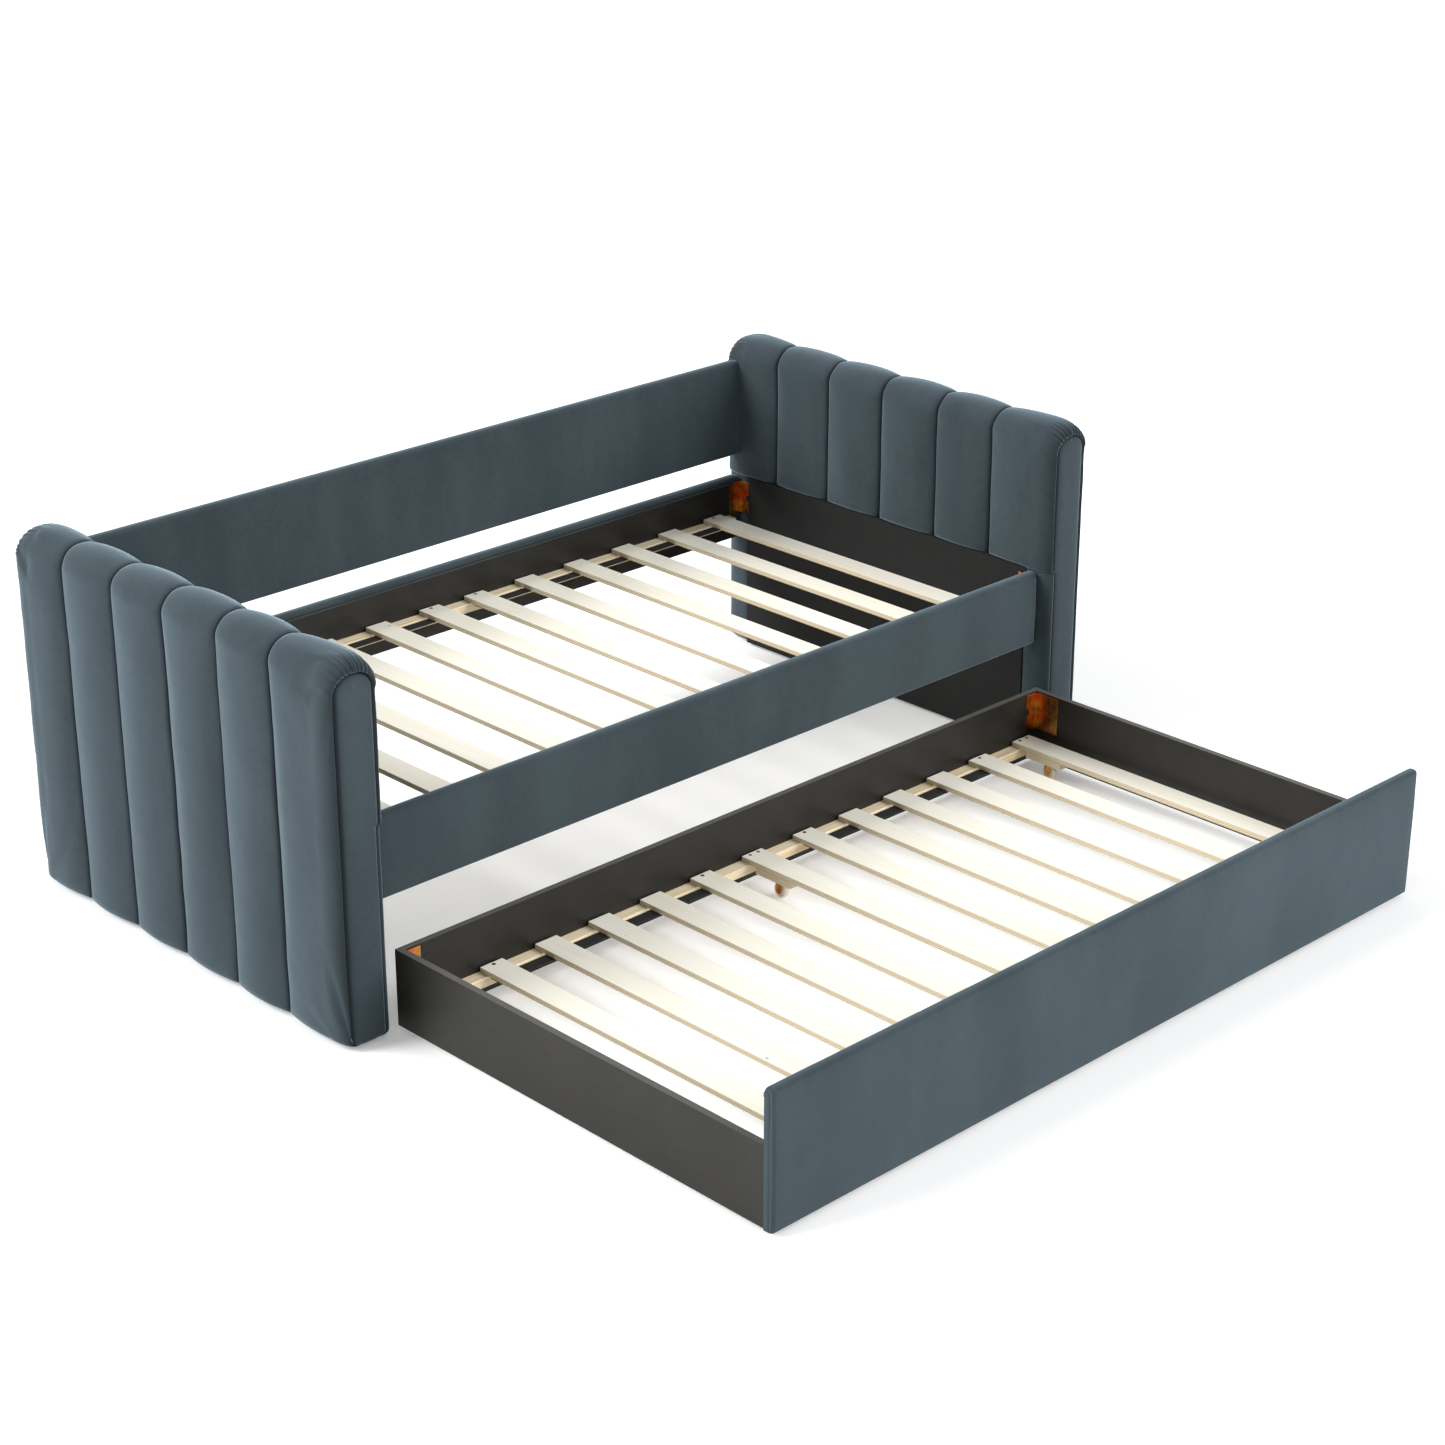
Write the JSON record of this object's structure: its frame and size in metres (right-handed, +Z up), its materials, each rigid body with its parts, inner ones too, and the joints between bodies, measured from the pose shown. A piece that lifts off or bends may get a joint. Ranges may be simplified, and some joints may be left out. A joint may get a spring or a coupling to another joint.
{
  "type": "trundle bed",
  "caption": "Upholstered daybed with channelled arms, low open back and slatted base, and a slatted trundle bed on fixed casters that rolls out from under its front rail",
  "frame": {"origin": "on the floor, in the middle of the footprint with the trundle rolled out", "axes": "X along the beds from the left arm to the right arm, Y from the trundle's front to the back of the daybed, Z up"},
  "size_m": [2.227, 2.14, 0.826],
  "materials": {
    "velvet": "short-pile slate-blue velvet",
    "black_lining": "black non-woven lining over board",
    "black_board": "black melamine board, cut edges lighter",
    "frame_timber": "planed softwood",
    "slat_wood": "pale bent-laminated birch, satin",
    "webbing": "black woven strap",
    "zinc_steel": "yellow-passivated zinc with an orange cast",
    "dark_screw": "black phosphate screws",
    "foot_plastic": "moulded black glide",
    "wheel_nylon": "off-white nylon"
  },
  "bodies": {
    "daybed": {"left_arm_cover": "velvet", "left_arm_lining": "black_lining", "left_arm_posts": "frame_timber", "left_arm_rails": "frame_timber", "left_arm_feet": "foot_plastic", "right_arm_cover": "velvet", "right_arm_lining": "black_lining", "right_arm_posts": "frame_timber", "right_arm_rails": "frame_timber", "right_arm_feet": "foot_plastic", "front_rail_cover": "velvet", "front_rail_board": "black_board", "lower_back_rail_cover": "velvet", "lower_back_rail_board": "black_board", "upper_back_rail_cover": "velvet", "upper_back_rail_board": "black_board", "back_rail_bolts": "zinc_steel", "daybed_front_ledger": "frame_timber", "daybed_rear_ledger": "frame_timber", "daybed_slats_right": "slat_wood", "daybed_webbing_right": "webbing", "daybed_slats_left": "slat_wood", "daybed_webbing_left": "webbing", "daybed_slat_screws": "dark_screw", "daybed_corner_brackets": "zinc_steel", "daybed_bracket_screws": "zinc_steel"},
    "trundle": {"trundle_front_ledger": "frame_timber", "trundle_rear_ledger": "frame_timber", "trundle_slats_right": "slat_wood", "trundle_webbing_right": "webbing", "trundle_slats_left": "slat_wood", "trundle_webbing_left": "webbing", "trundle_front_cover": "velvet", "trundle_front_board": "black_board", "trundle_left_panel": "black_board", "trundle_right_panel": "black_board", "trundle_rear_panel": "black_board", "trundle_caster_slats": "slat_wood", "trundle_slat_screws": "dark_screw", "trundle_corner_brackets": "zinc_steel", "trundle_bracket_screws": "zinc_steel", "caster_blocks": "slat_wood", "caster_forks": "zinc_steel", "caster_screws": "dark_screw", "caster_axles": "zinc_steel"},
    "wheel_right_front": {"caster_wheel_right_front": "wheel_nylon"},
    "wheel_right_rear": {"caster_wheel_right_rear": "wheel_nylon"},
    "wheel_middle_front": {"caster_wheel_middle_front": "wheel_nylon"},
    "wheel_middle_rear": {"caster_wheel_middle_rear": "wheel_nylon"},
    "wheel_left_front": {"caster_wheel_left_front": "wheel_nylon"},
    "wheel_left_rear": {"caster_wheel_left_rear": "wheel_nylon"}
  },
  "joints": [
    {"name": "trundle_slide", "type": "slide", "parent": "daybed", "child": "trundle", "axis": [0, 1, 0], "range_m": [0, 1.05]},
    {"name": "wheel_spin_right_front", "type": "hinge", "parent": "trundle", "child": "wheel_right_front", "pos_m": [0.902, -0.948, 0.019], "axis": [1, 0, 0], "continuous": true},
    {"name": "wheel_spin_right_rear", "type": "hinge", "parent": "trundle", "child": "wheel_right_rear", "pos_m": [0.902, -0.121, 0.019], "axis": [1, 0, 0], "continuous": true},
    {"name": "wheel_spin_middle_front", "type": "hinge", "parent": "trundle", "child": "wheel_middle_front", "pos_m": [0, -0.948, 0.019], "axis": [1, 0, 0], "continuous": true},
    {"name": "wheel_spin_middle_rear", "type": "hinge", "parent": "trundle", "child": "wheel_middle_rear", "pos_m": [0, -0.121, 0.019], "axis": [1, 0, 0], "continuous": true},
    {"name": "wheel_spin_left_front", "type": "hinge", "parent": "trundle", "child": "wheel_left_front", "pos_m": [-0.902, -0.948, 0.019], "axis": [1, 0, 0], "continuous": true},
    {"name": "wheel_spin_left_rear", "type": "hinge", "parent": "trundle", "child": "wheel_left_rear", "pos_m": [-0.902, -0.121, 0.019], "axis": [1, 0, 0], "continuous": true}
  ],
  "couplings": [
    {"joint": "wheel_spin_right_front", "follows": "trundle_slide", "rad_per_m": -52.632},
    {"joint": "wheel_spin_right_rear", "follows": "trundle_slide", "rad_per_m": -52.632},
    {"joint": "wheel_spin_middle_front", "follows": "trundle_slide", "rad_per_m": -52.632},
    {"joint": "wheel_spin_middle_rear", "follows": "trundle_slide", "rad_per_m": -52.632},
    {"joint": "wheel_spin_left_front", "follows": "trundle_slide", "rad_per_m": -52.632},
    {"joint": "wheel_spin_left_rear", "follows": "trundle_slide", "rad_per_m": -52.632}
  ]
}
